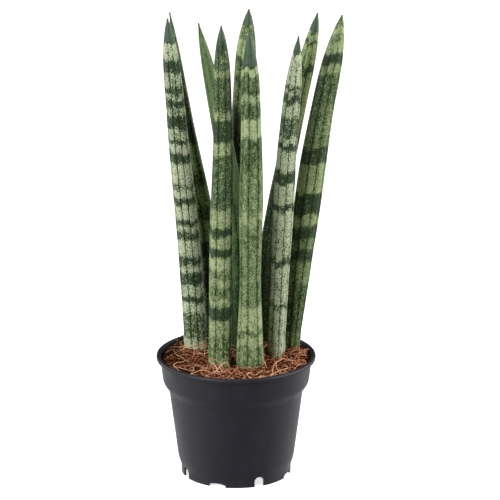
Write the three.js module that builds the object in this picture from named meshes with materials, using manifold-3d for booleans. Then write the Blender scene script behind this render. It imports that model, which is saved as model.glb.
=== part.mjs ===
// Potted snake plant: round pointed leaves standing in a black nursery pot that is filled
// with soil under a layer of coconut fibre. Millimetres, +Z up, origin on the pot's axis
// at the surface it stands on, with the pot's front towards -Y.

import * as THREE from 'three';
import { mergeVertices } from 'three/addons/utils/BufferGeometryUtils.js';
import Module from 'manifold-3d';

const wasm = await Module();
wasm.setup();

// ---- Pot ------------------------------------------------------------------------------
const potHeight = 92.5;
const lipRadius = 60;          // outer edge of the rolled lip
const lipDepth = 3.2;          // height of the lip's outer face
const lipOverhang = 2.9;       // how far the lip stands out from the collar
const lipRounding = 0.8;
const collarDepth = 20.5;      // from the rim to the bottom of the collar
const collarTaper = 2.1;       // how much narrower the collar is at its bottom
const shoulderWidth = 4.5;     // step in from the collar to the body
const shoulderHeight = 6.5;
const bodyTaper = 6.8;         // how much narrower the body is at its bottom
const bevelWidth = 2.3;        // step in from the body to the foot
const bevelHeight = 6.5;
const footHeight = 6;
const wall = 1.4;
const floorRise = 5;           // underside of the floor above the ground
const padRadius = 9;           // flat middle of the floor that reaches the ground
const padSlope = 4;            // how far the dished middle spreads as it rises

// ---- Drain openings: tall slots and low arches take turns around the foot ----------------
const drainPairs = 4;
const slotWidth = 7.5;
const slotHeight = 8;
const slotReach = 9;           // how far a slot cuts in from the foot's outer face
const archWidth = 13;
const archHeight = 2.8;
const slotBearing = -65;       // degrees from +X of the first slot

// ---- Filling ----------------------------------------------------------------------------
const clearance = 0.3;         // gap left between neighbouring pieces
const coirDrop = 3.8;          // coir surface below the rim, at the wall
const coirThickness = 8;
const coirMound = 2.2;         // how much higher the coir is in the middle
const coirTilt = 0.035;        // rise of the coir towards +X, per millimetre
const coirRipple = 0.5;

// ---- Leaves -----------------------------------------------------------------------------
const buriedDepth = 18;        // how far a leaf goes below the coir surface
const buriedDraw = 0.14;       // share of its distance that a buried end moves to the middle
const buriedNarrowing = 0.72;  // thickness of a buried end, as a share of the foot's
const tipRadius = 0.6;
const pointFullness = 0.75;    // 1 gives a sharp point, 0.5 a round end
const tableRadius = 60;        // lip radius of the pot for which the leaves' sizes are given
const leafSides = 14;
const leafSteps = 18;
const pointSteps = 6;

// bearing: direction of the foot from the pot's axis, in degrees from +X.
// share: distance of the foot from the axis, as a share of the room up to the wall.
// lean: sideways offset from the foot at a third, at two thirds and at the tip [x, y].
// reach: height of the tip above the rim.
// thickness: at the foot, a quarter, a half and three quarters of the way up.
// point: length of the pointed end.
// A wider pot holds a stouter plant: lean and thickness grow with the lip radius.
const leaves = [
  {
    name: 'leaf_left_front', bearing: 142, share: 0.845, reach: 255, point: 48,
    lean: [[-5.5, -1], [-13.2, -2], [-20.3, -3]], thickness: [16.4, 16.6, 16, 13.6],
  },
  {
    name: 'leaf_left_rear', bearing: 112, share: 0.98, reach: 253.5, point: 80,
    lean: [[-5.5, 0.5], [-20.3, 1.5], [-32, 2]], thickness: [13.4, 15, 14.2, 10.2],
  },
  {
    name: 'leaf_rear_slender', bearing: 84, share: 0.55, reach: 248.5, point: 78,
    lean: [[-2.1, 2.4], [-13.1, 4.7], [-30.5, 6.7]], thickness: [14, 15, 15, 13.2],
  },
  {
    name: 'leaf_front_left', bearing: 212.6, share: 0.316, reach: 259, point: 44,
    lean: [[0.9, -2.5], [2.6, -5.5], [1.6, -8]], thickness: [16.2, 16.6, 15.8, 13.2],
  },
  {
    name: 'leaf_front_right', bearing: 320.2, share: 0.312, reach: 253.5, point: 48,
    lean: [[0.5, -2], [1.1, -4], [-0.4, -6]], thickness: [20.4, 15.8, 17.6, 14.5],
  },
  {
    name: 'leaf_rear_tallest', bearing: 82.5, share: 0.93, reach: 254.5, point: 40,
    lean: [[-1.9, 2.3], [-1, 4.7], [3.9, 7]], thickness: [12.8, 14.6, 16.8, 15.8],
  },
  {
    name: 'leaf_right_front', bearing: 17.8, share: 0.665, reach: 246.5, point: 54,
    lean: [[3.8, -2.7], [8.3, -5.3], [16.2, -8]], thickness: [12.6, 13.6, 15.4, 13.2],
  },
  {
    name: 'leaf_right_rear', bearing: 60.6, share: 0.97, reach: 253, point: 44,
    lean: [[5.7, 2], [21, 4], [38.7, 6]], thickness: [14.4, 16.6, 14.2, 13.2],
  },
  {
    name: 'leaf_far_right', bearing: 29.9, share: 1, reach: 255.5, point: 48,
    lean: [[8.5, 1.7], [20, 3.3], [36.8, 5]], thickness: [10.8, 17, 20, 16.8],
  },
];

const roundSides = 72;

// ---- Materials --------------------------------------------------------------------------
function finish(color, roughness) {
  return new THREE.MeshStandardMaterial({ color, roughness, metalness: 0 });
}

const plasticFinish = finish(0x2d2c31, 0.5);
const soilFinish = finish(0x2b1d14, 1);
const coirFinish = finish(0x8f4f34, 0.95);
const leafFinish = finish(0x6c8f5c, 0.45);

// ---- Solids -----------------------------------------------------------------------------
// Turns a profile of [radius, height] points about the Z axis.
function turned(profile, sides) {
  const points = profile.map(([radius, height]) => new THREE.Vector2(radius, height));
  return new THREE.LatheGeometry(points, sides).rotateX(Math.PI / 2);
}

// Moves every vertex of a geometry with shift(vertex).
function shifted(geometry, shift) {
  const position = geometry.attributes.position;
  const vertex = new THREE.Vector3();
  for (let i = 0; i < position.count; i += 1) {
    vertex.fromBufferAttribute(position, i);
    shift(vertex);
    position.setXYZ(i, vertex.x, vertex.y, vertex.z);
  }
  return geometry;
}

function solid(geometry) {
  geometry.deleteAttribute('normal');
  geometry.deleteAttribute('uv');
  const merged = mergeVertices(geometry);
  return new wasm.Manifold(new wasm.Mesh({
    numProp: 3,
    vertProperties: new Float32Array(merged.attributes.position.array),
    triVerts: new Uint32Array(merged.index.array),
  }));
}

function mesh(name, shape, material) {
  const surface = shape.getMesh();
  const geometry = new THREE.BufferGeometry();
  geometry.setAttribute('position', new THREE.BufferAttribute(surface.vertProperties, 3));
  geometry.setIndex(new THREE.BufferAttribute(surface.triVerts, 1));
  geometry.computeVertexNormals();
  const result = new THREE.Mesh(geometry, material);
  result.name = name;
  return result;
}

// ---- Pot --------------------------------------------------------------------------------
const collarTop = { r: lipRadius - lipOverhang, z: potHeight - lipDepth };
const collarFoot = { r: collarTop.r - collarTaper, z: potHeight - collarDepth };
const bodyTop = { r: collarFoot.r - shoulderWidth, z: collarFoot.z - shoulderHeight };
const bodyFoot = { r: bodyTop.r - bodyTaper, z: footHeight + bevelHeight };
const footTop = { r: bodyFoot.r - bevelWidth, z: footHeight };
const floorTop = floorRise + wall;

// The inner wall from the floor up to the rim, moved in by a gap: the pot's own hollow with
// no gap, and the outside of what fills it with the clearance.
function innerWall(gap) {
  const inset = wall + gap;
  return [
    [0, wall + gap],
    [padRadius, wall + gap],
    [padRadius + padSlope, floorTop + gap],
    [footTop.r - inset, floorTop + gap],
    [bodyFoot.r - inset, bodyFoot.z],
    [bodyTop.r - inset, bodyTop.z],
    [collarFoot.r - inset, collarFoot.z],
    [collarTop.r - inset, collarTop.z],
    [collarTop.r - inset, potHeight],
  ];
}

// Radius of a profile at one height, between its points.
function radiusAt(profile, height) {
  const above = profile.findIndex(([, z]) => z >= height);
  const [highRadius, highZ] = profile[above];
  const [lowRadius, lowZ] = profile[above - 1];
  return lowRadius + (highRadius - lowRadius) * (height - lowZ) / (highZ - lowZ);
}

function potShell() {
  const outside = [
    [0, 0],
    [padRadius, 0],
    [padRadius + padSlope, floorRise],
    [footTop.r - wall, floorRise],
    [footTop.r - wall, 0],
    [footTop.r, 0],
    [footTop.r, footTop.z],
    [bodyFoot.r, bodyFoot.z],
    [bodyTop.r, bodyTop.z],
    [collarFoot.r, collarFoot.z],
    [collarTop.r, collarTop.z],
    [lipRadius - lipRounding, collarTop.z],
    [lipRadius, collarTop.z + lipRounding],
    [lipRadius, potHeight - lipRounding],
    [lipRadius - lipRounding, potHeight],
  ];
  return solid(turned([...outside, ...innerWall(0).reverse()], roundSides));
}

// An opening through the foot, seen from outside as a doorway with a round top.
function doorway(width, height, rise, reach) {
  const outline = new THREE.Shape();
  outline.moveTo(-width / 2, -height);
  outline.lineTo(width / 2, -height);
  outline.lineTo(width / 2, height - rise);
  outline.absellipse(0, height - rise, width / 2, rise, 0, Math.PI, false);
  outline.closePath();
  const settings = { depth: reach * 2, bevelEnabled: false, curveSegments: 8 };
  const cutter = new THREE.ExtrudeGeometry(outline, settings).translate(0, 0, -reach);
  return cutter.rotateX(Math.PI / 2).rotateZ(Math.PI / 2).translate(footTop.r, 0, 0);
}

function pot() {
  let shell = potShell();
  const turn = 360 / drainPairs;
  for (let i = 0; i < drainPairs; i += 1) {
    const slotAngle = THREE.MathUtils.degToRad(slotBearing + i * turn);
    const archAngle = slotAngle + THREE.MathUtils.degToRad(turn / 2);
    const slot = doorway(slotWidth, slotHeight, slotWidth / 2, slotReach).rotateZ(slotAngle);
    const arch = doorway(archWidth, archHeight, archHeight * 0.6, wall * 3).rotateZ(archAngle);
    shell = shell.subtract(solid(slot)).subtract(solid(arch));
  }
  return shell;
}

// ---- Leaves -----------------------------------------------------------------------------
const filling = innerWall(clearance);
const coirEdge = potHeight - coirDrop;
const coirBottom = coirEdge - coirThickness;
const footRoom = radiusAt(filling, coirBottom);

const growth = lipRadius / tableRadius;

// Horizontal offset of a leaf's axis at share t of its height, and its thickness there.
function leafShape(leaf) {
  const thickness = leaf.thickness.map((size) => size * growth);
  const room = footRoom - thickness[0] / 2 - clearance * 2;
  const angle = THREE.MathUtils.degToRad(leaf.bearing);
  const foot = new THREE.Vector3(Math.cos(angle), Math.sin(angle), 0).multiplyScalar(leaf.share * room);
  const stations = [[0, 0], ...leaf.lean].map(([x, y]) => {
    return new THREE.Vector3(x, y, 0).multiplyScalar(growth).add(foot);
  });
  const axis = new THREE.CatmullRomCurve3(stations, false, 'catmullrom');
  const girths = [...thickness, thickness[3] * 0.9];
  const girth = new THREE.SplineCurve(girths.map((size, i) => new THREE.Vector2(i, size)));
  return { foot, axis, girth, footRadius: thickness[0] / 2, height: potHeight + leaf.reach - coirEdge };
}

// A leaf as a turned solid that is bent along its axis. Every ring of it stays level.
function leafSolid(leaf, extra) {
  const { foot, axis, girth, footRadius, height } = leafShape(leaf);
  const radiusOf = (rise) => {
    if (rise < 0) {
      const depth = -rise / buriedDepth;
      return footRadius * (1 - (1 - buriedNarrowing) * depth);
    }
    const toTip = Math.max(1 - (height - rise) / leaf.point, 0);
    const taper = (1 - toTip * toTip) ** pointFullness;
    return Math.max(girth.getPoint(rise / height).y / 2 * taper, tipRadius);
  };
  const rises = [-buriedDepth - extra, -buriedDepth / 2];
  const shaft = height - leaf.point;
  for (let i = 0; i < leafSteps - pointSteps; i += 1) {
    rises.push(shaft * i / (leafSteps - pointSteps));
  }
  for (let i = 0; i <= pointSteps; i += 1) {
    rises.push(shaft + leaf.point * Math.sin(Math.PI / 2 * i / pointSteps));
  }
  const profile = rises.map((rise) => [radiusOf(Math.max(rise, -buriedDepth)) + extra, rise + coirEdge]);
  profile.unshift([0, profile[0][1]]);
  profile.push([0, profile[profile.length - 1][1]]);
  return solid(shifted(turned(profile, leafSides), (vertex) => {
    const rise = vertex.z - coirEdge;
    const centre = rise < 0
      ? foot.clone().multiplyScalar(1 + buriedDraw * Math.max(rise, -buriedDepth) / buriedDepth)
      : axis.getPoint(Math.min(rise / height, 1));
    vertex.x += centre.x;
    vertex.y += centre.y;
  }));
}

// ---- Filling ----------------------------------------------------------------------------
function withSockets(shape) {
  return leaves.reduce((rest, leaf) => rest.subtract(leafSolid(leaf, clearance)), shape);
}

function pottingSoil() {
  const top = coirBottom - clearance;
  const side = filling.filter(([, z]) => z < top);
  const profile = [...side, [radiusAt(filling, top), top], [0, top]];
  return withSockets(solid(turned(profile, roundSides)));
}

// Height of the coir surface above its level at the wall.
function coirSwell(x, y, radius) {
  const inward = 1 - (x * x + y * y) / (radius * radius);
  const ripple = Math.sin(x / 7 + 1) * Math.cos(y / 8);
  return coirTilt * x + coirMound * inward + coirRipple * ripple;
}

function coirMulch() {
  const topRadius = radiusAt(filling, coirEdge);
  const rings = 6;
  const profile = [[0, coirBottom], [radiusAt(filling, coirBottom), coirBottom]];
  for (let i = rings; i >= 0; i -= 1) {
    profile.push([topRadius * i / rings, coirEdge]);
  }
  return withSockets(solid(shifted(turned(profile, roundSides), (vertex) => {
    if (vertex.z > coirBottom + coirThickness / 2) {
      vertex.z += coirSwell(vertex.x, vertex.y, topRadius);
      const fit = radiusAt(filling, vertex.z) / topRadius;
      vertex.x *= fit;
      vertex.y *= fit;
    }
  })));
}

// ---- Assembly ---------------------------------------------------------------------------
const plant = new THREE.Group();
plant.name = 'potted_snake_plant';
plant.add(mesh('pot', pot(), plasticFinish));
plant.add(mesh('potting_soil', pottingSoil(), soilFinish));
plant.add(mesh('coir_mulch', coirMulch(), coirFinish));
for (const leaf of leaves) {
  plant.add(mesh(leaf.name, leafSolid(leaf, 0), leafFinish));
}

export default plant;
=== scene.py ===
"""Looks of a potted snake plant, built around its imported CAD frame.

Round pointed leaves with dark and pale bands stand in a black nursery pot, in soil under a
layer of coconut fibre. Lengths are in metres, +Z is up, and the pot's axis is at the origin.
"""

import logging
import math
from dataclasses import dataclass, field
from enum import Enum
from typing import Any

import bpy
import numpy as np
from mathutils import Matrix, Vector


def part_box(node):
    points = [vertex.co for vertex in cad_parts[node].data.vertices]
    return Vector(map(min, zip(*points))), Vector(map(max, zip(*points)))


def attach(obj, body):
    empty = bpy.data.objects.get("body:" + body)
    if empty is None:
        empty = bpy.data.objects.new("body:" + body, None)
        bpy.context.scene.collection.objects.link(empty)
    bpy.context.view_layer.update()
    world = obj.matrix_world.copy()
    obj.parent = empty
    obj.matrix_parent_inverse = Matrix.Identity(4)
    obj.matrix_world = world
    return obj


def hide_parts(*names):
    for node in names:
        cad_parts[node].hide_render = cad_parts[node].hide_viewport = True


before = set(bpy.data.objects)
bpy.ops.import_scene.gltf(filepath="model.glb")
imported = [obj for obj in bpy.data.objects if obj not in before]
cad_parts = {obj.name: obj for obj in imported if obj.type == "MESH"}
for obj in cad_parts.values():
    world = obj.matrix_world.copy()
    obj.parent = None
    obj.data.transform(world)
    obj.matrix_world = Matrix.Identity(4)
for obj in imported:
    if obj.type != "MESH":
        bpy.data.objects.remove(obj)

log = logging.getLogger("snake_plant")

MM = 0.001
TURN = 2 * math.pi

Colour = tuple[float, float, float]


# ---- Numbers and meshes -------------------------------------------------------------------


def smooth_curve(at: np.ndarray, places: np.ndarray, values: np.ndarray) -> np.ndarray:
    """Cubic curve through values, with each slope taken from the two neighbours.

    Args:
        at: Where the curve is wanted, any shape.
        places: Rising places of the known values, shape (n,).
        values: Known values, shape (n,).

    Returns:
        The curve's values, of the shape of at.
    """
    slopes = np.gradient(values, places)
    index = np.clip(np.searchsorted(places, at) - 1, 0, len(places) - 2)
    width = places[index + 1] - places[index]
    t = np.clip((at - places[index]) / width, 0, 1)
    rise = t * t * (3 - 2 * t)
    start = values[index] * (1 - rise) + values[index + 1] * rise
    bend = slopes[index] * t * (1 - t) ** 2 - slopes[index + 1] * t * t * (1 - t)
    return start + width * bend


def value_noise(x: np.ndarray, y: np.ndarray, seed: int, size: int = 64) -> np.ndarray:
    """Smooth random values between -1 and 1: a random lattice, eased between its points.

    Args:
        x: First coordinate, in lattice steps.
        y: Second coordinate, in lattice steps, of a shape that goes with that of x.
        seed: Seed of the lattice.
        size: Steps after which the lattice repeats.

    Returns:
        Noise of the shape that x and y have together.
    """
    lattice = np.random.default_rng(seed).uniform(-1, 1, (size, size))
    column, row = np.floor(x).astype(int), np.floor(y).astype(int)
    u, v = x - column, y - row
    u, v = u * u * (3 - 2 * u), v * v * (3 - 2 * v)
    near, far = column % size, (column + 1) % size
    low, high = row % size, (row + 1) % size
    bottom = lattice[near, low] * (1 - u) + lattice[far, low] * u
    top = lattice[near, high] * (1 - u) + lattice[far, high] * u
    return bottom * (1 - v) + top * v


def make_piece(
    name: str, points: np.ndarray, faces: list[np.ndarray], smooth: bool = True,
) -> bpy.types.Object:
    """Puts points and faces into a new object at the origin.

    Args:
        name: Name of the object.
        points: Corners, shape (n, 3), in metres.
        faces: Arrays of corner numbers, one row for each face.
        smooth: Whether the faces are shaded smooth.

    Returns:
        The object.
    """
    corners = np.concatenate([group.ravel() for group in faces])
    sides = np.concatenate([np.full(len(group), group.shape[1]) for group in faces])
    mesh = bpy.data.meshes.new(name)
    mesh.vertices.add(len(points))
    mesh.vertices.foreach_set("co", points.astype(np.float32).ravel())
    mesh.loops.add(len(corners))
    mesh.loops.foreach_set("vertex_index", corners.astype(np.int32))
    mesh.polygons.add(len(sides))
    mesh.polygons.foreach_set("loop_start", (np.cumsum(sides) - sides).astype(np.int32))
    mesh.polygons.foreach_set("use_smooth", np.full(len(sides), smooth))
    mesh.update(calc_edges=True)
    piece = bpy.data.objects.new(name, mesh)
    bpy.context.scene.collection.objects.link(piece)
    return piece


def ring_faces(rows: int, columns: int) -> np.ndarray:
    """Quads of a grid of rings that closes around, facing away from the rings' middle.

    Args:
        rows: Number of rings, from the bottom up.
        columns: Points on a ring, counterclockwise seen from above.

    Returns:
        Corner numbers, shape ((rows - 1) * columns, 4).
    """
    first = np.arange(columns)
    after = (first + 1) % columns
    ring = np.stack([first, after, after + columns, first + columns], axis=1)
    steps = np.arange(rows - 1)[:, None, None] * columns
    return (ring[None] + steps).reshape(-1, 4)


def closed_rings(rings: np.ndarray) -> tuple[np.ndarray, list[np.ndarray]]:
    """Closes a stack of rings into a solid's skin, with a middle point at each end.

    Args:
        rings: Points, shape (rows, columns, 3), from the bottom up.

    Returns:
        The points, shape (rows * columns + 2, 3), and the arrays of faces.
    """
    rows, columns, _ = rings.shape
    ends = np.stack([rings[0].mean(0), rings[-1].mean(0)])
    points = np.concatenate([rings.reshape(-1, 3), ends])
    first = np.arange(columns)
    after = (first + 1) % columns
    foot = np.stack([after, first, np.full(columns, rows * columns)], axis=1)
    last = (rows - 1) * columns
    top = np.stack([first + last, after + last, np.full(columns, rows * columns + 1)], axis=1)
    return points, [ring_faces(rows, columns), foot, top]


def add_values(piece: bpy.types.Object, name: str, values: np.ndarray) -> None:
    """Stores one number for each point of a piece, for its material to read.

    Args:
        piece: The piece.
        name: Name of the attribute.
        values: Numbers, shape (points,).
    """
    attribute = piece.data.attributes.new(name, "FLOAT", "POINT")
    attribute.data.foreach_set("value", values.astype(np.float32))


def levels_of(node: bpy.types.Object) -> list[tuple[float, np.ndarray]]:
    """The corners of a CAD node, gathered by height.

    Args:
        node: A CAD node whose corners lie in level rings.

    Returns:
        Pairs of a height and the corners there, from the bottom up.
    """
    corners = np.zeros(len(node.data.vertices) * 3, np.float32)
    node.data.vertices.foreach_get("co", corners)
    corners = corners.reshape(-1, 3).astype(float)
    heights = np.round(corners[:, 2] / (0.02 * MM)).astype(int)
    return [(corners[heights == h, 2].mean(), corners[heights == h]) for h in np.unique(heights)]


# ---- Shader maths -------------------------------------------------------------------------


class Signal:
    """A number socket of a shader, on which maths is written as an expression."""

    def __init__(self, shader: "Shader", socket: bpy.types.NodeSocket) -> None:
        """Wraps a socket of a shader."""
        self.shader = shader
        self.socket = socket

    def _math(self, operation: str, first: Any, second: Any = 0.0) -> "Signal":
        """Adds one Math node and returns its result."""
        made = self.shader.node("ShaderNodeMath", {"operation": operation}, {0: first, 1: second})
        return Signal(self.shader, made.outputs[0])

    def __add__(self, other: Any) -> "Signal":
        """Adds."""
        return self._math("ADD", self, other)

    __radd__ = __add__

    def __sub__(self, other: Any) -> "Signal":
        """Takes away."""
        return self._math("SUBTRACT", self, other)

    def __rsub__(self, other: Any) -> "Signal":
        """Takes this from another."""
        return self._math("SUBTRACT", other, self)

    def __mul__(self, other: Any) -> "Signal":
        """Multiplies."""
        return self._math("MULTIPLY", self, other)

    __rmul__ = __mul__

    def step(self, low: float, high: float) -> "Signal":
        """Eases from 0 to 1.

        Args:
            low: Where the result leaves 0.
            high: Where it reaches 1.

        Returns:
            The eased number.
        """
        values = {"Value": self, "From Min": low, "From Max": high}
        made = self.shader.node("ShaderNodeMapRange", {"interpolation_type": "SMOOTHSTEP"}, values)
        return Signal(self.shader, made.outputs["Result"])


class Shader:
    """The nodes of one material or world."""

    def __init__(self, owner: bpy.types.Material | bpy.types.World) -> None:
        """Empties the node tree of a new material or world.

        Args:
            owner: The material or world.
        """
        owner.use_nodes = True
        self.owner = owner
        self.tree = owner.node_tree
        self.tree.nodes.clear()

    def node(
        self, kind: str, settings: dict[str, Any], values: dict[str | int, Any],
    ) -> bpy.types.Node:
        """Makes one node.

        Args:
            kind: Blender's type of the node.
            settings: Its properties, which are set first.
            values: Its inputs by name or number: a signal, a socket or a plain value.

        Returns:
            The node.
        """
        made = self.tree.nodes.new(kind)
        for key, setting in settings.items():
            setattr(made, key, setting)
        for key, value in values.items():
            target = made.inputs[key]
            if isinstance(value, Signal):
                self.tree.links.new(value.socket, target)
            elif isinstance(value, bpy.types.NodeSocket):
                self.tree.links.new(value, target)
            else:
                target.default_value = value
        return made

    def stored(self, name: str) -> Signal:
        """The number that a piece stores under a name."""
        made = self.node("ShaderNodeAttribute", {"attribute_name": name}, {})
        return Signal(self, made.outputs["Fac"])

    def place(self, scale: tuple[float, float, float]) -> bpy.types.NodeSocket:
        """Object coordinates, stretched.

        Args:
            scale: How much along X, Y and Z.

        Returns:
            The coordinates' socket.
        """
        where = self.node("ShaderNodeTexCoord", {}, {})
        values = {"Vector": where.outputs["Object"], "Scale": scale}
        return self.node("ShaderNodeMapping", {}, values).outputs["Vector"]

    def noise(self, scale: tuple[float, float, float], detail: float = 2.0) -> Signal:
        """Noise with so many features a metre along each axis.

        Args:
            scale: Features a metre along X, Y and Z.
            detail: Number of finer octaves.

        Returns:
            Noise around 0.5.
        """
        values = {"Vector": self.place(scale), "Scale": 1.0, "Detail": detail}
        return Signal(self, self.node("ShaderNodeTexNoise", {}, values).outputs["Fac"])

    def mix(self, share: Any, first: Any, second: Any) -> bpy.types.NodeSocket:
        """A colour between two colours.

        Args:
            share: How much of the second, a number or a signal.
            first: First colour, as three numbers or a socket.
            second: Second colour, as three numbers or a socket.

        Returns:
            The mixed colour's socket.
        """
        colours = [(*c, 1.0) if isinstance(c, tuple) else c for c in (first, second)]
        values = {0: share, 6: colours[0], 7: colours[1]}
        return self.node("ShaderNodeMix", {"data_type": "RGBA"}, values).outputs[2]

    def bump(self, height: Signal, distance: float, strength: float) -> bpy.types.NodeSocket:
        """A normal that follows a height.

        Args:
            height: The height, from 0 to 1.
            distance: What a height of 1 measures, in metres.
            strength: Share of the effect.

        Returns:
            The normal's socket.
        """
        values = {"Height": height, "Distance": distance, "Strength": strength}
        return self.node("ShaderNodeBump", {}, values).outputs["Normal"]

    def surface(self, values: dict[str, Any]) -> bpy.types.Material:
        """Ends the material in a Principled shader.

        Args:
            values: The shader's inputs by name.

        Returns:
            The material.
        """
        skin = self.node("ShaderNodeBsdfPrincipled", {}, values)
        self.node("ShaderNodeOutputMaterial", {}, {"Surface": skin.outputs["BSDF"]})
        return self.owner


# ---- Finishes -----------------------------------------------------------------------------


@dataclass(frozen=True)
class PlasticFinish:
    """Black moulded polypropylene: satin, a little dusty, with a fine moulded grain."""

    body: Colour = (0.0115, 0.0106, 0.0175)
    dusty: Colour = (0.0200, 0.0190, 0.0280)
    roughness: float = 0.44
    grain: float = 0.05 * MM

    def material(self) -> bpy.types.Material:
        """Makes the plastic's material.

        Returns:
            The material.
        """
        shader = Shader(bpy.data.materials.new("pot_plastic"))
        dust = shader.noise((90, 90, 40), 4).step(0.42, 0.75)
        scuffs = shader.noise((500, 500, 120), 3).step(0.6, 0.85)
        grain = shader.noise((2600, 2600, 2600), 2)
        waves = shader.noise((50, 50, 40), 1)
        return shader.surface({
            "Base Color": shader.mix(dust * 0.6 + scuffs * 0.2, self.body, self.dusty),
            "Roughness": self.roughness + dust * 0.1 - scuffs * 0.06,
            "Specular IOR Level": 0.4,
            "Normal": shader.bump(grain * 0.6 + waves * 0.4, self.grain, 0.5),
        })


@dataclass(frozen=True)
class SoilFinish:
    """Dark moist peat with paler crumbs."""

    peat: Colour = (0.012, 0.007, 0.004)
    crumb: Colour = (0.06, 0.03, 0.015)

    def material(self) -> bpy.types.Material:
        """Makes the soil's material.

        Returns:
            The material.
        """
        shader = Shader(bpy.data.materials.new("peat_soil"))
        crumbs = shader.noise((420, 420, 420), 5)
        return shader.surface({
            "Base Color": shader.mix(crumbs.step(0.5, 0.75), self.peat, self.crumb),
            "Roughness": 0.95,
            "Normal": shader.bump(crumbs, 1.5 * MM, 1.0),
        })


@dataclass(frozen=True)
class CoirFinish:
    """Coconut fibre: red-brown, each fibre with a shade of its own stored on it, plus painted shade
    stored on sunk fibres and on the mat under them.
    """

    # Darkest end: a dark brown that also serves as painted shade on the mat and on sunk fibres.
    dark_and_painted_shade: Colour = (0.014, 0.0030, 0.0008)
    rust: Colour = (0.29, 0.082, 0.030)
    tan: Colour = (0.80, 0.46, 0.28)
    roughness: float = 0.82

    def material(self) -> bpy.types.Material:
        """Makes the coir's material.

        Returns:
            The material, which reads the stored value "shade" from 0, dark brown and painted shade,
            to 1, tan.
        """
        shader = Shader(bpy.data.materials.new("coir"))
        flecks = shader.noise((900, 900, 900), 3)
        shade = shader.stored("shade") + (flecks - 0.5) * 0.8
        low = shader.mix(shade.step(0.0, 0.5), self.dark_and_painted_shade, self.rust)
        return shader.surface({
            "Base Color": shader.mix(shade.step(0.5, 1.0), low, self.tan),
            "Roughness": self.roughness,
            "Specular IOR Level": 0.1,
            "Normal": shader.bump(flecks, 0.25 * MM, 0.8),
        })


@dataclass(frozen=True)
class LeafFinish:
    """Waxy skin of a leaf: a pale and a dark green, mottled into each other lengthwise."""

    name: str
    pale: Colour = (0.41, 0.475, 0.26)
    between: Colour = (0.095, 0.150, 0.050)
    dark: Colour = (0.017, 0.038, 0.014)
    # Near-black green laid along each groove as painted shade in the crease.
    groove: Colour = (0.010, 0.020, 0.008)
    tip: Colour = (0.056, 0.094, 0.058)
    horn: Colour = (0.12, 0.085, 0.05)
    roughness: float = 0.42
    groove_shade_line: float = 0.9
    speckle: float = 2.7

    def material(self) -> bpy.types.Material:
        """Makes the leaf's material.

        Returns:
            The material, which reads the stored values "tone" (0 pale to 1 dark), "groove"
            (where a dark line of painted shade is laid), "horn" and "bleach".
        """
        shader = Shader(bpy.data.materials.new(self.name + "_skin"))
        cloud = shader.noise((110, 110, 60), 3) - 0.5
        blotch = shader.noise((420, 420, 240), 3) - 0.5
        grit = shader.noise((1200, 1200, 800), 2) - 0.5
        streak = shader.noise((1400, 1400, 30), 3)
        tone = shader.stored("tone") + cloud * 0.5 + blotch * 0.9 + grit * self.speckle
        body = shader.mix(tone.step(-0.1, 0.65), self.pale, self.between)
        body = shader.mix(tone.step(0.45, 0.95), body, self.dark)
        tip = shader.mix((blotch + grit * 1.4).step(0.05, 0.5) * 0.6, self.tip, self.dark)
        tip = shader.mix((cloud - grit * 1.2).step(0.1, 0.6) * 0.35, tip, self.between)
        body = shader.mix(shader.stored("tone").step(1.1, 1.35), body, tip)
        body = shader.mix(shader.stored("bleach"), body, self.pale)
        body = shader.mix(streak.step(0.5, 0.8) * 0.25, body, self.dark)
        # Painted shade: a dark line laid along each groove, broken up by noise.
        groove_shade_line = shader.stored("groove") + (streak - 0.5) * 0.5 + blotch * 0.8
        body = shader.mix(groove_shade_line.step(0.3, 0.8) * self.groove_shade_line, body, self.groove)
        body = shader.mix(shader.stored("horn"), body, self.horn)
        relief = grit * 0.6 + blotch * 0.5 + streak * 0.7
        return shader.surface({
            "Base Color": body,
            "Roughness": self.roughness + grit * 0.25,
            "Specular IOR Level": 0.24,
            "Normal": shader.bump(relief, 0.25 * MM, 0.6),
        })


# ---- Pot ----------------------------------------------------------------------------------


@dataclass(frozen=True)
class Opening:
    """A drain opening through the foot: from outside, a doorway with a round top."""

    width: float
    height: float
    crown: float
    reach: float

    def rings(self, face: float, bearing: float) -> np.ndarray:
        """Points of a prism of the opening's outline, standing across the foot ring.

        Args:
            face: Radius of the foot's outer face.
            bearing: The opening's direction from the pot's axis.

        Returns:
            Rings for closed_rings, shape (2, n, 3).
        """
        turn = np.linspace(0, math.pi, 13)
        across = np.concatenate([[-self.width / 2, self.width / 2], self.width / 2 * np.cos(turn)])
        top = self.height - self.crown + self.crown * np.sin(turn)
        up = np.concatenate([[-self.height, -self.height], top])
        out = np.array([face - self.reach, face + self.reach])[:, None]
        x = out * math.cos(bearing) - across * math.sin(bearing)
        y = out * math.sin(bearing) + across * math.cos(bearing)
        return np.stack([x, y, np.broadcast_to(up, x.shape)], axis=2)


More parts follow.
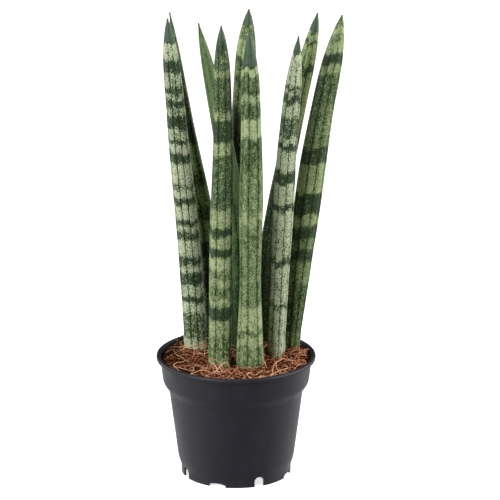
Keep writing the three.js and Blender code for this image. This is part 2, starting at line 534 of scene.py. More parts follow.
@dataclass
class Pot:
    """The nursery pot: a thin moulded shell with a rolled lip, a collar and drain openings."""

    node: str = "pot"
    columns: int = 288
    lip_depth: float = 3.2 * MM
    lip_overhang: float = 2.9 * MM
    lip_rounding: float = 1.2 * MM
    lip_flare: float = 1.1 * MM
    collar_depth: float = 20.5 * MM
    collar_taper: float = 2.1 * MM
    shoulder_width: float = 4.5 * MM
    shoulder_height: float = 6.5 * MM
    body_taper: float = 6.8 * MM
    bevel_width: float = 2.3 * MM
    bevel_height: float = 6.5 * MM
    foot_height: float = 6.0 * MM
    wall: float = 1.4 * MM
    floor_rise: float = 5.0 * MM
    pad_radius: float = 9.0 * MM
    pad_slope: float = 4.0 * MM
    corner: float = 2.2 * MM
    sharp: float = 0.3 * MM
    arc_steps: int = 5
    smooth_angle: float = math.radians(38)
    drain_pairs: int = 4
    slot: Opening = Opening(7.5 * MM, 8.0 * MM, 3.75 * MM, 9.0 * MM)
    arch: Opening = Opening(13.0 * MM, 2.8 * MM, 1.68 * MM, 4.2 * MM)
    slot_bearing: float = math.radians(-65)
    finish: PlasticFinish = field(default_factory=PlasticFinish)

    def __post_init__(self) -> None:
        """Takes the rim's height and the lip's radius from the CAD pot."""
        low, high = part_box(self.node)
        self.rim = high[2]
        self.lip = (high[0] - low[0]) / 2
        self.collar_radius = self.lip - self.lip_overhang
        self.body_radius = self.collar_radius - self.collar_taper - self.shoulder_width
        self.bevel_radius = self.body_radius - self.body_taper
        self.foot = self.bevel_radius - self.bevel_width

    def _outline(self) -> list[tuple[float, float, float]]:
        """Corners of the shell's profile, from its underside round to the floor inside.

        Returns:
            (radius, height, rounding) of each corner.
        """
        low_collar = self.rim - self.collar_depth
        under_lip = self.rim - self.lip_depth
        wall_path = [
            (self.foot, self.foot_height, self.corner),
            (self.bevel_radius, self.foot_height + self.bevel_height, self.corner * 2),
            (self.body_radius, low_collar - self.shoulder_height, self.corner),
            (self.collar_radius - self.collar_taper, low_collar, self.corner),
        ]
        inside = [(radius - self.wall, height, size) for radius, height, size in wall_path[1:]]
        floor = self.floor_rise + self.wall
        return [
            (0.0, 0.0, 0.0),
            (self.pad_radius, 0.0, self.corner),
            (self.pad_radius + self.pad_slope, self.floor_rise, self.corner),
            (self.foot - self.wall, self.floor_rise, self.sharp),
            (self.foot - self.wall, 0.0, self.sharp),
            (self.foot, 0.0, self.sharp),
            *wall_path,
            (self.collar_radius, under_lip, self.sharp),
            (self.lip, under_lip, self.lip_rounding),
            (self.lip, self.rim, self.lip_rounding),
            (self.collar_radius - self.wall + self.lip_flare, self.rim, self.lip_rounding),
            (self.collar_radius - self.wall, under_lip - self.lip_depth / 2, self.lip_rounding),
            *inside[::-1],
            (self.foot - self.wall, floor, self.corner),
            (self.pad_radius + self.pad_slope, floor, self.corner),
            (self.pad_radius, self.wall, self.corner),
            (0.0, self.wall, 0.0),
        ]

    def _profile(self) -> np.ndarray:
        """The outline with its corners rounded by parabolas.

        A rounding starts and ends its own size away from the corner, or nearly half-way to
        the next corner where that is nearer.

        Returns:
            [radius, height] points, shape (n, 2).
        """
        outline = np.array(self._outline())
        corners, sizes = outline[:, :2], outline[:, 2]
        t = np.linspace(0, 1, self.arc_steps + 1)[:, None]
        rounded = [corners[:1]]
        for before, corner, after, size in zip(corners, corners[1:], corners[2:], sizes[1:]):
            back, ahead = before - corner, after - corner
            reach = min(size, 0.45 * np.hypot(*back), 0.45 * np.hypot(*ahead))
            start = corner + back / np.hypot(*back) * reach
            end = corner + ahead / np.hypot(*ahead) * reach
            rounded.append((1 - t) ** 2 * start + 2 * t * (1 - t) * corner + t * t * end)
        rounded.append(corners[-1:])
        return np.concatenate(rounded)

    def build(self) -> bpy.types.Object:
        """Turns the profile about the pot's axis and cuts the drain openings.

        Each point is (r cos a, r sin a, z) for a profile point (r, z) and a bearing a.

        Returns:
            The pot's shell.
        """
        shell = self._turned("pot_shell", self._profile())
        self._cut(shell)
        shell.data.set_sharp_from_angle(angle=self.smooth_angle)
        return shell

    def _turned(self, name: str, profile: np.ndarray) -> bpy.types.Object:
        """Turns a profile that starts and ends on the axis into a closed skin.

        Args:
            name: Name of the piece.
            profile: [radius, height] points, shape (n, 2).

        Returns:
            The turned piece.
        """
        bearing = np.arange(self.columns) / self.columns * TURN
        ring = profile[1:-1]
        points = np.stack([
            ring[:, :1] * np.cos(bearing),
            ring[:, :1] * np.sin(bearing),
            np.repeat(ring[:, 1:], self.columns, axis=1),
        ], axis=2)
        points, faces = closed_rings(points)
        points[-2] = (0.0, 0.0, profile[0, 1])
        points[-1] = (0.0, 0.0, profile[-1, 1])
        return make_piece(name, points, faces)

    def _cut(self, shell: bpy.types.Object) -> None:
        """Cuts the slots and arches, which take turns around the foot, out of it.

        Args:
            shell: The pot's shell.
        """
        points, faces, start = [], [], 0
        turn = TURN / self.drain_pairs
        for i in range(self.drain_pairs):
            bearing = self.slot_bearing + i * turn
            for opening, at in ((self.slot, bearing), (self.arch, bearing + turn / 2)):
                solid, parts = closed_rings(opening.rings(self.foot, at))
                points.append(solid)
                faces += [part + start for part in parts]
                start += len(solid)
        cutter = make_piece("drain_cutter", np.concatenate(points), faces)
        bpy.context.view_layer.objects.active = shell
        cut = shell.modifiers.new("drains", "BOOLEAN")
        cut.operation = "DIFFERENCE"
        cut.solver = "EXACT"
        cut.object = cutter
        with bpy.context.temp_override(object=shell, active_object=shell, selected_objects=[shell]):
            bpy.ops.object.modifier_apply(modifier=cut.name)
        bpy.data.objects.remove(cutter)

    def dress(self, shell: bpy.types.Object) -> None:
        """Gives the shell its plastic, hangs it on the root body and hides the CAD pot.

        Args:
            shell: The pot's shell.
        """
        shell.data.materials.append(self.finish.material())
        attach(shell, "root")
        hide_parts(self.node)


# ---- Leaves -------------------------------------------------------------------------------


class Tone(Enum):
    """How dark a stretch of leaf is, from 0, pale, to 1, dark, and above 1 the plain tip."""

    PALE = 0.02
    LIGHT = 0.18
    MID = 0.46
    MOTTLED = 0.64
    DARK = 0.95
    SOLID = 1.4


Bands = list[tuple[float, Tone]]


@dataclass(frozen=True)
class Spine:
    """The CAD leaf at each row of its skin: its axis, its radius and the depth below its tip."""

    height: np.ndarray
    from_tip: np.ndarray
    x: np.ndarray
    y: np.ndarray
    radius: np.ndarray


@dataclass(frozen=True)
class Columns:
    """The columns of points around a leaf.

    Each has its bearing, the number of its ridge, its share of the way across that ridge, its
    angle from the nearest groove, and how far its ridge's bands are shifted.
    """

    bearing: np.ndarray
    ridge: np.ndarray
    across: np.ndarray
    to_groove: np.ndarray
    shift: np.ndarray


@dataclass
class Leaf:
    """One leaf: a grooved skin over the CAD leaf, with bands listed from the tip down."""

    node: str
    bands: Bands
    ridges: int
    groove_turn: float
    seed: int
    finish: LeafFinish
    foot_bleach: float = 0.0
    bleach_height: float = 6 * MM
    band_shift: float = 1.6 * MM
    band_fray: float = 1.5 * MM
    fray_length: float = 9 * MM
    frays_around: int = 16
    rows: int = 300
    row_crowding: float = 1.35
    groove_depth: float = 0.085
    groove_width: float = 0.34 * MM
    groove_start: float = 7 * MM
    groove_fade: float = 26 * MM
    groove_shade: float = 0.18
    shade_width: float = 1.3 * MM
    ridge_spread: float = 0.12
    crown: float = 0.025
    wobble: float = 0.012
    wobble_length: float = 22 * MM
    twist: float = 0.05
    twist_length: float = 60 * MM
    horn_length: float = 2.2 * MM
    stops: tuple[float, ...] = (0.0, 0.045, 0.1, 0.2, 0.35, 0.5, 0.65, 0.8, 0.9, 0.955)

    def _spine(self) -> Spine:
        """Reads the CAD leaf's axis and radius, at rows that crowd towards the tip.

        Returns:
            The leaf's spine, with one value for each row.
        """
        levels = levels_of(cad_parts[self.node])
        heights = np.array([height for height, _ in levels])
        middles = np.array([(c[:, :2].min(0) + c[:, :2].max(0)) / 2 for _, c in levels])
        sizes = np.array([
            np.hypot(*(c[:, :2] - middle).T).max() for (_, c), middle in zip(levels, middles)
        ])
        share = np.linspace(0, 1, self.rows)
        reach = heights[-1] - heights[0]
        height = heights[0] + reach * (1 - (1 - share) ** self.row_crowding)
        return Spine(
            height=height,
            from_tip=heights[-1] - height,
            x=smooth_curve(height, heights, middles[:, 0]),
            y=smooth_curve(height, heights, middles[:, 1]),
            radius=smooth_curve(height, heights, sizes),
        )

    def _columns(self) -> Columns:
        """Shares the way around among ridges of uneven width, with points close to the grooves.

        Returns:
            The leaf's columns.
        """
        rng = np.random.default_rng(self.seed)
        widths = 1 + rng.uniform(-self.ridge_spread, self.ridge_spread, self.ridges)
        shifts = rng.uniform(-1, 1, self.ridges) * self.band_shift
        edges = np.concatenate([[0], np.cumsum(widths)]) / widths.sum() * TURN
        arcs = np.diff(edges)
        stops = np.array(self.stops)
        ridge = np.repeat(np.arange(self.ridges), len(stops))
        across = np.tile(stops, self.ridges)
        return Columns(
            bearing=(edges[:-1, None] + arcs[:, None] * stops).ravel() + self.groove_turn,
            ridge=ridge,
            across=across,
            to_groove=np.minimum(across, 1 - across) * arcs[ridge],
            shift=shifts[ridge],
        )

    def build(self, coir_height: float) -> bpy.types.Object:
        """Builds the skin as rings around the CAD leaf's axis.

        A point is the axis at its height plus (cos a, sin a) times the CAD radius there, times
        1 plus a crown between grooves, less a narrow dip at each groove, plus a slow wobble.

        Args:
            coir_height: Height of the coir surface.

        Returns:
            The leaf's skin.
        """
        spine, columns = self._spine(), self._columns()
        height, ridge = spine.height[:, None], columns.ridge[None]
        distance = columns.to_groove[None] * spine.radius[:, None]
        fade = np.clip((spine.from_tip - self.groove_start) / self.groove_fade, 0, 1)[:, None]
        groove = np.exp(-(distance / self.groove_width) ** 2) * fade
        swell = self.crown * np.sin(math.pi * columns.across)[None] * fade
        wave = value_noise(height / self.wobble_length + ridge * 7.3, ridge, self.seed)
        size = 1 + swell - self.groove_depth * groove + self.wobble * wave
        size = spine.radius[:, None] * size
        twist = self.twist * value_noise(height / self.twist_length, np.array(3.5), self.seed + 1)
        angle = columns.bearing[None] + twist
        points, faces = closed_rings(np.stack([
            spine.x[:, None] + size * np.cos(angle),
            spine.y[:, None] + size * np.sin(angle),
            np.broadcast_to(height, size.shape),
        ], axis=2))
        skin = make_piece(self.node + "_skin", points, faces)

        shade = self.groove_shade * np.exp(-(distance / self.shade_width) ** 2) * fade
        above_coir = (height - coir_height) / self.bleach_height
        values = {
            "tone": self._tone(self._below_tip(spine, columns)) + shade,
            "groove": groove,
            "horn": np.clip(1 - spine.from_tip[:, None] / self.horn_length, 0, 1),
            "bleach": np.clip(1.2 - above_coir, 0, 1) * self.foot_bleach,
        }
        for name, found in values.items():
            grid = np.broadcast_to(found, size.shape)
            add_values(skin, name, np.concatenate([grid.ravel(), grid[0, :1], grid[-1, :1]]))
        return skin

    def _below_tip(self, spine: Spine, columns: Columns) -> np.ndarray:
        """Depth below the tip at which a point looks up its band, shifted and frayed.

        Args:
            spine: The leaf's spine.
            columns: The leaf's columns.

        Returns:
            Depths, shape (rows, columns).
        """
        around = columns.bearing[None] / TURN * self.frays_around
        along = spine.height[:, None] / self.fray_length
        fray = self.band_fray * value_noise(around, along, self.seed + 2, self.frays_around)
        return spine.from_tip[:, None] + columns.shift[None] + fray

    def _tone(self, from_tip: np.ndarray) -> np.ndarray:
        """The darkness of the bands, with soft edges.

        Args:
            from_tip: Depths below the tip, any shape.

        Returns:
            Darkness of the shape of from_tip.
        """
        step = 0.5 * MM
        lengths = np.array([length for length, _ in self.bands]) * MM
        tones = np.array([tone.value for _, tone in self.bands])
        places = np.arange(-20 * MM, 320 * MM, step)
        index = np.minimum(np.searchsorted(np.cumsum(lengths), places), len(tones) - 1)
        blur = np.exp(-np.linspace(-2, 2, 11) ** 2)
        soft = np.convolve(np.pad(tones[index], 5, mode="edge"), blur / blur.sum(), mode="valid")
        return np.interp(from_tip, places, soft)

    def dress(self, skin: bpy.types.Object) -> None:
        """Gives the skin its material, hangs it on the root body and hides the CAD leaf.

        Args:
            skin: The leaf's skin.
        """
        skin.data.materials.append(self.finish.material())
        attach(skin, "root")
        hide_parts(self.node)


def plant_leaves() -> list[Leaf]:
    """The leaves, each with its bands in millimetres from the tip down.

    Returns:
        The leaves, in the order in which they are built.
    """
    solid, dark, mottled = Tone.SOLID, Tone.DARK, Tone.MOTTLED
    mid, light, pale = Tone.MID, Tone.LIGHT, Tone.PALE
    grey = LeafFinish("grey_green", groove_shade_line=0.5, speckle=2.3)
    even = LeafFinish("even_green", between=(0.11, 0.17, 0.06), groove_shade_line=0.35, speckle=1.9)
    fresh = LeafFinish(
        "fresh_green", speckle=2.1,
        pale=(0.37, 0.44, 0.22), between=(0.12, 0.18, 0.065), dark=(0.018, 0.036, 0.012),
    )
    bright = LeafFinish(
        "bright_green", groove_shade_line=0.4,
        pale=(0.13, 0.20, 0.07), between=(0.085, 0.15, 0.05), dark=(0.018, 0.042, 0.012),
    )
    yellow = LeafFinish(
        "yellow_green",
        pale=(0.38, 0.455, 0.20), between=(0.14, 0.205, 0.07), dark=(0.024, 0.046, 0.016),
    )
    silver = LeafFinish(
        "silver_green", speckle=3.4, pale=(0.53, 0.59, 0.39), between=(0.15, 0.195, 0.10),
    )
    return [
        Leaf("leaf_left_front", [
            (19, solid), (12.5, pale), (9.5, dark), (11, light), (4.5, dark), (5.5, light),
            (5.5, dark), (6.5, light), (10, dark), (8.5, light), (3, dark), (7, pale),
            (8, dark), (15.5, pale), (5, mottled), (6, pale), (6, dark), (12.5, pale),
            (4, dark), (5.5, light), (6, dark), (13, pale), (6, dark), (6.5, light),
            (9.5, dark), (10, light), (4.5, dark), (8, pale), (20.5, mottled), (8, light),
            (8, mid),
        ], 9, math.radians(-108), 11, silver, foot_bleach=0.8),
        Leaf("leaf_left_rear", [
            (16, solid), (40, mottled), (8, mid), (22, mottled), (16, dark), (22, light),
            (9, mottled), (18, light), (10, mottled), (16, light), (12, dark), (14, mid),
            (10, dark), (60, mottled),
        ], 8, math.radians(-100), 12, yellow),
        Leaf("leaf_rear_slender", [
            (9, mottled), (60, light), (30, mid), (36, light), (30, mid), (40, mottled),
            (80, dark),
        ], 7, math.radians(-80), 13, bright),
        Leaf("leaf_front_left", [
            (11, solid), (8, dark), (14, mottled), (5, light), (27, mottled), (6, light),
            (17, dark), (10, light), (42, mottled), (15, light), (6, dark), (10, light),
            (6, dark), (10, pale), (8, mid), (6, light), (8, mid), (8, light), (10, dark),
            (12, light), (20, mid), (20, light),
        ], 8, math.radians(-68), 14, grey),
        Leaf("leaf_front_right", [
            (25.5, solid), (6, pale), (15, mottled), (6.5, light), (12, mottled), (15, pale),
            (20, mottled), (39, mid), (8, light), (64, mid), (20, light), (3.5, mottled),
            (8, light), (35, mid),
        ], 8, math.radians(-101), 15, even),
        Leaf("leaf_rear_tallest", [
            (12.5, solid), (3, mid), (8, mottled), (12, light), (5.5, dark), (11, mid),
            (5, dark), (18, mid), (40, dark), (60, mottled), (100, dark),
        ], 8, math.radians(-120), 16, yellow),
        Leaf("leaf_right_front", [
            (13, solid), (25, pale), (2.5, dark), (4.5, light), (5.5, dark), (10, pale),
            (16, mottled), (6.5, light), (4, dark), (16.5, pale), (10, dark), (16, pale),
            (5, dark), (12.5, pale), (25, light), (5, dark), (8, pale), (12, light), (10, pale),
            (5, mottled), (10, pale), (12, light), (20, pale), (20, light),
        ], 8, math.radians(-80), 17, silver),
        Leaf("leaf_right_rear", [
            (14, solid), (6.5, light), (2.5, dark), (16.5, light), (6, dark), (45, light),
            (10, mottled), (150, dark),
        ], 8, math.radians(-75), 18, yellow),
        Leaf("leaf_far_right", [
            (9.5, mottled), (5, light), (6, mid), (8.5, light), (8, dark), (8, light),
            (21, mottled), (35, mid), (12.5, dark), (22.5, light), (16.5, dark), (9.5, light),
            (9.5, dark), (9.5, mid), (8, dark), (19, mid), (37.5, mottled), (20, mid),
        ], 9, math.radians(-114), 19, fresh),
    ]


# ---- Soil and coir ------------------------------------------------------------------------


@dataclass
class PottingSoil:
    """The soil under the coir, which keeps its CAD solid."""

    node: str = "potting_soil"
    finish: SoilFinish = field(default_factory=SoilFinish)

    def dress(self) -> bpy.types.Object:
        """Gives the CAD soil its material.

        Returns:
            The soil.
        """
        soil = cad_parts[self.node]
        soil.data.materials.clear()
        soil.data.materials.append(self.finish.material())
        return soil


@dataclass
class CoirBed:
    """The coconut fibre on the soil: a lumpy mat, crumbs, short fibres and long strands."""

    node: str = "coir_mulch"
    seed: int = 5
    rings: int = 84
    columns: int = 300
    depth: float = 2.6 * MM
    hollow: float = 5.2 * MM
    hollow_at: tuple[float, float] = (6 * MM, -16 * MM)
    hollow_size: float = 24 * MM
    lump: float = 1.0 * MM
    lump_sizes: tuple[tuple[float, float], ...] = ((7 * MM, 1.0), (3 * MM, 0.6), (1.4 * MM, 0.4))
    # Size of the noise that varies the mat's painted gap shade.
    gap_shade_size: float = 2.2 * MM
    crumb_count: int = 3600
    crumb_size: tuple[float, float] = (0.5 * MM, 1.5 * MM)
    fibre_count: int = 2300
    fibre_length: tuple[float, float] = (4 * MM, 15 * MM)
    fibre_radius: tuple[float, float] = (0.25 * MM, 0.5 * MM)
    strand_count: int = 240
    strand_length: tuple[float, float] = (14 * MM, 42 * MM)
    strand_radius: tuple[float, float] = (0.24 * MM, 0.4 * MM)
    strand_lift: float = 8 * MM
    finish: CoirFinish = field(default_factory=CoirFinish)

    def __post_init__(self) -> None:
        """Takes the bed's radius from the CAD coir and its level from the pot's rim."""
        self.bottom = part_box(self.node)[0][2]
        corners = np.concatenate([c for _, c in levels_of(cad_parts[self.node])])
        self.radius = np.hypot(corners[:, 0], corners[:, 1]).max()
        self.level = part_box("pot")[1][2] - self.depth
        self.rng = np.random.default_rng(self.seed)

    def height(self, x: np.ndarray, y: np.ndarray) -> np.ndarray:
        """Height of the bed's surface: level, with a round hollow and lumps of three sizes.

        Args:
            x: Places along X, any shape.
            y: Places along Y, of the same shape.

        Returns:
            Heights of that shape.
        """
        away = (x - self.hollow_at[0]) ** 2 + (y - self.hollow_at[1]) ** 2
        height = self.level - self.hollow * np.exp(-away / (2 * self.hollow_size**2))
        for i, (size, share) in enumerate(self.lump_sizes):
            height = height + self.lump * share * value_noise(x / size, y / size, self.seed + i)
        return height

    def mat(self) -> bpy.types.Object:
        """Builds the mat: a disc whose top follows the bed's surface, closed underneath, stored
        near-black as painted shade in the gaps between the fibres.

        Returns:
            The mat.
        """
        bearing = np.arange(self.columns) / self.columns * TURN
        reach = np.linspace(1, 0.004, self.rings)[:, None] * self.radius
        x, y = reach * np.cos(bearing), reach * np.sin(bearing)
        top = np.stack([x, y, self.height(x, y)], axis=2)
        under = np.stack([x[0], y[0], np.full(self.columns, self.bottom)], axis=1)
        points, faces = closed_rings(np.concatenate([under[None], top]))
        piece = make_piece("coir_mat", points, faces)
        x, y = points[:, 0] / self.gap_shade_size, points[:, 1] / self.gap_shade_size
        gap_shade = value_noise(x, y, self.seed + 4)
        # Painted shade: the mat is stored at the dark end, varied by noise, to stand for the shade
        # in the gaps between fibres.
        add_values(piece, "shade", 0.1 * gap_shade - 0.1)
        return piece

    def spots(self, count: int, spread: float) -> np.ndarray:
        """Random places on the bed, even over its area.

        Args:
            count: Number of places.
            spread: Share of the bed's radius that they cover.

        Returns:
            Places, shape (count, 2).
        """
        reach = self.radius * spread * np.sqrt(self.rng.uniform(0, 1, count))
        bearing = self.rng.uniform(0, TURN, count)
        return np.stack([reach * np.cos(bearing), reach * np.sin(bearing)], axis=1)

    def crumbs(self) -> bpy.types.Object:
        """Builds crumbs of husk: squashed, jittered octahedra lying on the bed.

        Returns:
            The crumbs as one piece.
        """
        count = self.crumb_count
        girdle = np.array([(1, 0, 0), (0, 1, 0), (-1, 0, 0), (0, -1, 0)])
        corners = np.concatenate([girdle, [(0, 0, 1), (0, 0, -1)]]).astype(float)
        first, after = np.arange(4), (np.arange(4) + 1) % 4
        above = np.stack([first, after, np.full(4, 4)], axis=1)
        below = np.stack([after, first, np.full(4, 5)], axis=1)
        triangles = np.concatenate([above, below])
        size = self.rng.uniform(*self.crumb_size, (count, 1, 1))
        stretch = self.rng.uniform((0.6, 0.5, 0.35), (1.5, 1.0, 0.7), (count, 3))[:, None]
        shape = (corners[None] + self.rng.uniform(-0.3, 0.3, (count, 6, 3))) * stretch * size
        turn = self.rng.uniform(0, TURN, count)
        cos, sin = np.cos(turn)[:, None], np.sin(turn)[:, None]
        spot = self.spots(count, 0.97)
        x = spot[:, :1] + shape[..., 0] * cos - shape[..., 1] * sin
        y = spot[:, 1:] + shape[..., 0] * sin + shape[..., 1] * cos
        z = self.height(spot[:, :1], spot[:, 1:]) + 0.3 * MM + shape[..., 2]
        points = np.stack([x, y, z], axis=2).reshape(-1, 3)
        faces = (triangles[None] + np.arange(count)[:, None, None] * 6).reshape(-1, 3)
        piece = make_piece("coir_crumbs", points, [faces], smooth=False)
        add_values(piece, "shade", np.repeat(self.rng.uniform(-0.4, 0.4, count), 6))
        return piece

    def paths(self, spot: np.ndarray, length: np.ndarray, steps: int, bend: float) -> np.ndarray:
        """Wandering paths over the bed.

        Each path starts at a spot and turns steadily, with a wave on top, as it goes.

        Args:
            spot: Middle of each path, shape (n, 2).
            length: Length of each path, shape (n,).
            steps: Points on a path.
            bend: Most that a path turns over its length, in radians.

        Returns:
            Points, shape (n, steps, 2).
        """
        count = len(spot)
        t = np.linspace(0, 1, steps)[None]
        start = self.rng.uniform(0, TURN, (count, 1))
        heading = start + self.rng.normal(0, bend / 2, (count, 1)) * t
        wave = self.rng.uniform(0, TURN, (count, 1))
        heading = heading + 0.35 * np.sin(wave + t * self.rng.uniform(3, 9, (count, 1)))
        stride = (length / (steps - 1))[:, None]
        x = np.cumsum(stride * np.cos(heading), axis=1)
        y = np.cumsum(stride * np.sin(heading), axis=1)
        middle = steps // 2
        x, y = x - x[:, middle : middle + 1], y - y[:, middle : middle + 1]
        return np.stack([spot[:, :1] + x, spot[:, 1:] + y], axis=2)

    def kept_clear(self, path: np.ndarray, feet: np.ndarray, gap: float) -> np.ndarray:
        """Moves points out of the leaves' feet and back inside the wall.

        Args:
            path: Points, shape (n, steps, 2).
            feet: Each foot's x, y and radius, shape (leaves, 3).
            gap: Room kept to a foot and to the wall.

        Returns:
            The moved points.
        """
        for x, y, size in feet:
            away = path - (x, y)
            far = np.maximum(np.hypot(away[..., 0], away[..., 1]), 0.1 * MM)
            push = np.maximum(size + gap - far, 0)
            path = path + away / far[..., None] * push[..., None]
        reach = np.hypot(path[..., 0], path[..., 1])
        return path * np.minimum(1, (self.radius - gap) / reach)[..., None]

    @staticmethod
    def tubes(
        name: str, paths: np.ndarray, radius: np.ndarray, shade: np.ndarray,
    ) -> bpy.types.Object:
        """Draws three-sided tapering tubes along paths, as one piece.

        A point is the path's point plus a radius, tapered at both ends, times cos a sideways
        and sin a upwards, at three angles a.

        Args:
            name: Name of the piece.
            paths: Points, shape (n, steps, 3).
            radius: Each tube's radius, shape (n,).
            shade: Each tube's shade, shape (n,).

        Returns:
            The tubes.
        """
        count, steps, _ = paths.shape
        along = np.gradient(paths, axis=1)
        along /= np.linalg.norm(along, axis=2, keepdims=True)
        side = np.cross(along, (0.0, 0.0, 1.0))
        side /= np.maximum(np.linalg.norm(side, axis=2, keepdims=True), 1e-6)
        up = np.cross(side, along)
        taper = 0.35 + 0.65 * np.sin(math.pi * np.linspace(0.06, 0.94, steps)) ** 0.5
        size = (radius[:, None] * taper)[..., None, None]
        angle = np.arange(3) / 3 * TURN
        cos, sin = np.cos(angle)[:, None], np.sin(angle)[:, None]
        spokes = side[:, :, None] * cos + up[:, :, None] * sin
        points = (paths[:, :, None] + size * spokes).reshape(-1, 3)
        quads = ring_faces(steps, 3)[:, ::-1]
        last = 3 * (steps - 1)
        caps = np.array([(0, 1, 2), (last + 2, last + 1, last)])
        start = np.arange(count)[:, None, None] * steps * 3
        faces = [(quads[None] + start).reshape(-1, 4), (caps[None] + start).reshape(-1, 3)]
        piece = make_piece(name, points, faces)
        add_values(piece, "shade", np.repeat(shade, steps * 3))
        return piece

    def fibres(self, feet: np.ndarray) -> bpy.types.Object:
        """Builds the short fibres that lie matted over the bed, the lower ones with painted shade.

        Args:
            feet: Each leaf foot's x, y and radius, shape (leaves, 3).

        Returns:
            The fibres as one piece.
        """
        count, steps = self.fibre_count, 6
        length = self.rng.uniform(*self.fibre_length, count)
        path = self.paths(self.spots(count, 0.98), length, steps, 1.6)
        path = self.kept_clear(path, feet, 0.4 * MM)
        t = np.linspace(0, 1, steps)[None]
        lift = self.rng.uniform(-0.6, 0.9, (count, 1))
        tilt = self.rng.normal(0, 0.9, (count, 1)) * (t - 0.5)
        z = self.height(path[..., 0], path[..., 1]) + (lift + tilt) * MM
        points = np.concatenate([path, z[..., None]], axis=2)
        # Painted shade: the lower a fibre lies, the darker its stored shade, for the shade cast by
        # the fibres above it.
        shade = np.clip(self.rng.normal(0.02, 0.42, count) + 0.45 * lift[:, 0], -0.2, 1.1)
        radius = self.rng.uniform(*self.fibre_radius, count)
        return self.tubes("coir_fibres", points, radius, shade)

    def strands(self, feet: np.ndarray) -> bpy.types.Object:
        """Builds the long pale strands that curl over the rest.

        Args:
            feet: Each leaf foot's x, y and radius, shape (leaves, 3).

        Returns:
            The strands as one piece.
        """
        count, steps = self.strand_count, 22
        length = self.rng.uniform(*self.strand_length, count)
        path = self.paths(self.spots(count, 0.9), length, steps, 2.6)
        path = self.kept_clear(path, feet, 0.5 * MM)
        t = np.linspace(0, 1, steps)[None]
        lift = self.rng.uniform(0, 1, (count, 1)) ** 5 * self.strand_lift
        skew = self.rng.uniform(0.6, 1.8, (count, 1))
        z = self.height(path[..., 0], path[..., 1]) + 0.7 * MM + lift * np.sin(math.pi * t**skew)
        points = np.concatenate([path, z[..., None]], axis=2)
        shade = np.clip(self.rng.normal(0.66, 0.32, count), 0.1, 1.2)
        radius = self.rng.uniform(*self.strand_radius, count)
        return self.tubes("coir_strands", points, radius, shade)

    def dress(self, pieces: list[bpy.types.Object]) -> None:
        """Gives the pieces their material, hangs them on the root body and hides the CAD coir.

        Args:
            pieces: The pieces of the bed.
        """
        material = self.finish.material()
        for piece in pieces:
            piece.data.materials.append(material)
            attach(piece, "root")
            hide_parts(self.node)


# ---- Studio -------------------------------------------------------------------------------


@dataclass(frozen=True)
class SoftBox:
    """A tall soft box: its bearing from the camera's in degrees, positive to the right."""

    name: str
    bearing: float
    distance: float
    width: float
    power: float
    height: float = 1.3
    stand: float = 0.7
    aim: float = 0.18

    def build(self) -> None:
        """Stands the box on its bearing and turns it to the plant."""
        data = bpy.data.lights.new(self.name, "AREA")
        data.shape = "RECTANGLE"
        data.size, data.size_y = self.width, self.height
        data.energy = self.power
        light = bpy.data.objects.new(self.name, data)
        turn = math.radians(self.bearing)
        away = self.distance
        light.location = (math.sin(turn) * away, -math.cos(turn) * away, self.stand)
        aim = Vector((0, 0, self.aim)) - light.location
        light.rotation_euler = aim.to_track_quat("-Z", "Y").to_euler()
        bpy.context.scene.collection.objects.link(light)


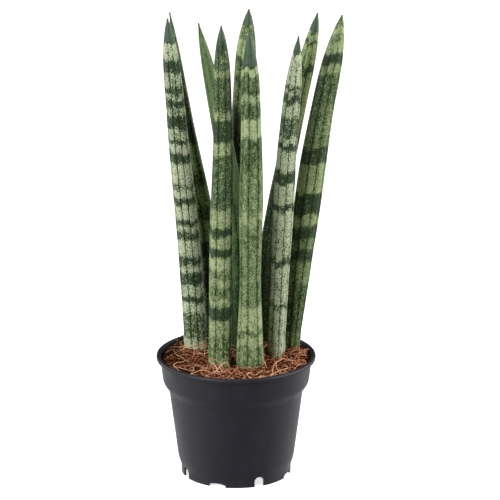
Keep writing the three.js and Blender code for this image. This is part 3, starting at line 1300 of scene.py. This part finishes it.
@dataclass
class Studio:
    """A pale floor in a dim white room, a soft box at each side and behind, and the camera."""

    floor_size: float = 6.0
    floor_glow: float = 0.75
    glow_rise: tuple[float, float] = (0.5, 2.5)
    camera_distance: float = 3.17
    camera_pitch: float = math.radians(17.6)
    lens: float = 305.5
    target: tuple[float, float, float] = (0.0105, 0.0, 0.1745)
    fill: float = 0.03
    ground: float = 1.0
    front_ground: float = 0.48
    boxes: tuple[SoftBox, ...] = (
        SoftBox("left_box", -46, 1.4, 1.3, 30.0),
        SoftBox("right_box", 84, 1.2, 1.1, 26.0),
        SoftBox("left_rim", -125, 1.2, 0.9, 9.0),
        SoftBox("right_rim", 130, 1.2, 0.9, 7.0),
    )

    def build(self) -> None:
        """Builds the floor, the light and the camera."""
        self._floor()
        self._world()
        for box in self.boxes:
            box.build()
        self._camera()

    def _floor(self) -> None:
        """Lays the floor, which glows a little, and more with its distance from the plant."""
        corners = np.array([(-1, -1, 0), (1, -1, 0), (1, 1, 0), (-1, 1, 0)]) * self.floor_size
        floor = make_piece("floor", corners, [np.array([[0, 1, 2, 3]])])
        shader = Shader(bpy.data.materials.new("floor_paper"))
        tint = shader.noise((3, 3, 3), 2)
        where = shader.node("ShaderNodeTexCoord", {}, {}).outputs["Object"]
        length = shader.node("ShaderNodeVectorMath", {"operation": "LENGTH"}, {"Vector": where})
        far = Signal(shader, length.outputs["Value"]).step(*self.glow_rise)
        floor.data.materials.append(shader.surface({
            "Base Color": shader.mix(tint, (0.80, 0.80, 0.80), (0.84, 0.84, 0.84)),
            "Roughness": 0.9,
            "Emission Color": shader.mix(far, (self.floor_glow,) * 3, (1.0, 1.0, 1.0)),
            "Emission Strength": 1.0,
        }))
        floor.visible_diffuse = False
        floor.visible_glossy = False

    def _world(self) -> None:
        """Lights the room dimly, shows it white, and lets glossy skins mirror a pale ground.

        The mirrored ground is brightest a little below level and dark straight down, where
        the plant shades it, and it is brighter at the sides and behind than in front.
        """
        world = bpy.data.worlds.new("room")
        room = Shader(world)
        path = room.node("ShaderNodeLightPath", {}, {})
        shown = Signal(room, path.outputs["Is Camera Ray"])
        mirrored = Signal(room, path.outputs["Is Glossy Ray"])
        where = room.node("ShaderNodeTexCoord", {}, {}).outputs["Generated"]
        way = room.node("ShaderNodeSeparateXYZ", {}, {"Vector": where}).outputs
        back = Signal(room, way["Y"]) - Signal(room, way["X"]) * 0.3
        drop = 0.0 - Signal(room, way["Z"])
        ground = drop.step(0.0, 0.25) * (1.0 - drop.step(0.45, 0.95) * 0.4)
        ground = ground * (self.front_ground + back.step(-0.9, 0.5) * (1.0 - self.front_ground))
        strength = shown + mirrored * ground * self.ground + self.fill
        values = {"Color": (1, 1, 1, 1), "Strength": strength}
        light = room.node("ShaderNodeBackground", {}, values)
        room.node("ShaderNodeOutputWorld", {}, {"Surface": light.outputs["Background"]})
        bpy.context.scene.world = world

    def _camera(self) -> None:
        """Sets up the camera, level and in front of the pot, looking down a little."""
        data = bpy.data.cameras.new("camera")
        data.lens = self.lens
        data.sensor_width = 36.0
        data.clip_end = 50.0
        camera = bpy.data.objects.new("camera", data)
        pitch = self.camera_pitch
        away = Vector((0, -math.cos(pitch), math.sin(pitch))) * self.camera_distance
        camera.location = Vector(self.target) + away
        camera.rotation_euler = (math.pi / 2 - pitch, 0, 0)
        bpy.context.scene.collection.objects.link(camera)
        bpy.context.scene.camera = camera
        bpy.context.scene.view_settings.view_transform = "Standard"


# ---- The plant ----------------------------------------------------------------------------


def foot_circles(leaves: list[Leaf], height: float) -> np.ndarray:
    """Where the leaves pass a height.

    Args:
        leaves: The leaves.
        height: The height.

    Returns:
        The x, y and radius of each, shape (leaves, 3).
    """
    found = []
    for leaf in leaves:
        levels = levels_of(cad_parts[leaf.node])
        _, corners = min(levels, key=lambda level: abs(level[0] - height))
        middle = (corners[:, :2].min(0) + corners[:, :2].max(0)) / 2
        found.append((*middle, np.hypot(*(corners[:, :2] - middle).T).max()))
    return np.array(found)


def main() -> None:
    """Builds the plant and its studio, and reports each piece."""
    logging.basicConfig(level=logging.INFO, format="%(message)s")
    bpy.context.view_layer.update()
    pot = Pot()
    shell = pot.build()
    pot.dress(shell)
    log.info("%s: %d faces", shell.name, len(shell.data.polygons))

    soil = PottingSoil().dress()
    log.info("%s: %d faces", soil.name, len(soil.data.polygons))

    leaves = plant_leaves()
    bed = CoirBed()
    feet = foot_circles(leaves, bed.level)
    pieces = [bed.mat(), bed.crumbs(), bed.fibres(feet), bed.strands(feet)]
    bed.dress(pieces)
    for piece in pieces:
        log.info("%s: %d faces", piece.name, len(piece.data.polygons))

    for leaf in leaves:
        skin = leaf.build(bed.level)
        leaf.dress(skin)
        log.info("%s: %d faces", skin.name, len(skin.data.polygons))

    Studio().build()


if __name__ == "__main__":
    main()
